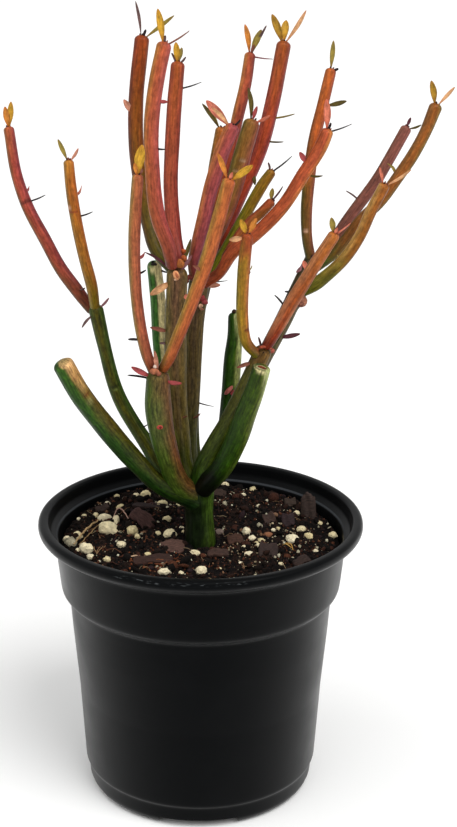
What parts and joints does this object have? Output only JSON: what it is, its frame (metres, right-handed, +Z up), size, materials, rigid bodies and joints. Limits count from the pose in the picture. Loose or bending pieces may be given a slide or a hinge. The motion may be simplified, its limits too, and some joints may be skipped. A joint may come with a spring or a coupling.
{
  "type": "potted pencil cactus",
  "caption": "Potted pencil cactus: green branching trunk with cut stubs, coral leafy shoots, in a round black nursery pot filled with peat mix.",
  "frame": {"origin": "middle of the pot's flat base, on the surface it stands on", "axes": "+Z up the pot and the plant, -Y towards the side the picture shows, +X to that side's right"},
  "size_m": [0.1419, 0.108, 0.2608],
  "materials": {
    "black_plastic": "smooth matte black polypropylene",
    "peat_mix": "rough dark brown peat with white perlite grains and bark chips",
    "green_stem": "waxy green succulent skin, tan cork at the cut stubs",
    "shoot_far_left_skin": "waxy coral to orange succulent skin with small leaves",
    "shoot_left_skin": "waxy coral to orange succulent skin with small leaves",
    "shoot_tall_left_skin": "waxy coral to orange succulent skin with small leaves",
    "shoot_tall_middle_skin": "waxy coral to orange succulent skin with small leaves",
    "shoot_tall_right_skin": "waxy coral to orange succulent skin with small leaves",
    "shoot_front_left_skin": "waxy coral to orange succulent skin with small leaves",
    "shoot_front_right_skin": "waxy coral to orange succulent skin with small leaves",
    "shoot_crown_slim_skin": "waxy coral to orange succulent skin with small leaves",
    "shoot_crown_front_skin": "waxy coral to orange succulent skin with small leaves",
    "shoot_back_slim_skin": "waxy coral to orange succulent skin with small leaves",
    "shoot_back_tall_skin": "waxy coral to orange succulent skin with small leaves",
    "shoot_crown_brown_skin": "waxy coral to orange succulent skin with small leaves",
    "shoot_green_yellow_skin": "waxy coral to orange succulent skin with small leaves",
    "shoot_forked_skin": "waxy coral to orange succulent skin with small leaves",
    "shoot_inner_left_skin": "waxy coral to orange succulent skin with small leaves",
    "shoot_inner_right_skin": "waxy coral to orange succulent skin with small leaves",
    "shoot_right_upright_skin": "waxy coral to orange succulent skin with small leaves",
    "shoot_right_purple_skin": "waxy coral to orange succulent skin with small leaves",
    "shoot_far_right_skin": "waxy coral to orange succulent skin with small leaves",
    "shoot_right_short_skin": "waxy coral to orange succulent skin with small leaves"
  },
  "bodies": {
    "root": {"pot": "black_plastic", "potting_mix": "peat_mix", "trunk_and_branches": "green_stem", "shoot_far_left": "shoot_far_left_skin", "shoot_left": "shoot_left_skin", "shoot_tall_left": "shoot_tall_left_skin", "shoot_tall_middle": "shoot_tall_middle_skin", "shoot_tall_right": "shoot_tall_right_skin", "shoot_front_left": "shoot_front_left_skin", "shoot_front_right": "shoot_front_right_skin", "shoot_crown_slim": "shoot_crown_slim_skin", "shoot_crown_front": "shoot_crown_front_skin", "shoot_back_slim": "shoot_back_slim_skin", "shoot_back_tall": "shoot_back_tall_skin", "shoot_crown_brown": "shoot_crown_brown_skin", "shoot_green_yellow": "shoot_green_yellow_skin", "shoot_forked": "shoot_forked_skin", "shoot_inner_left": "shoot_inner_left_skin", "shoot_inner_right": "shoot_inner_right_skin", "shoot_right_upright": "shoot_right_upright_skin", "shoot_right_purple": "shoot_right_purple_skin", "shoot_far_right": "shoot_far_right_skin", "shoot_right_short": "shoot_right_short_skin"}
  },
  "joints": []
}
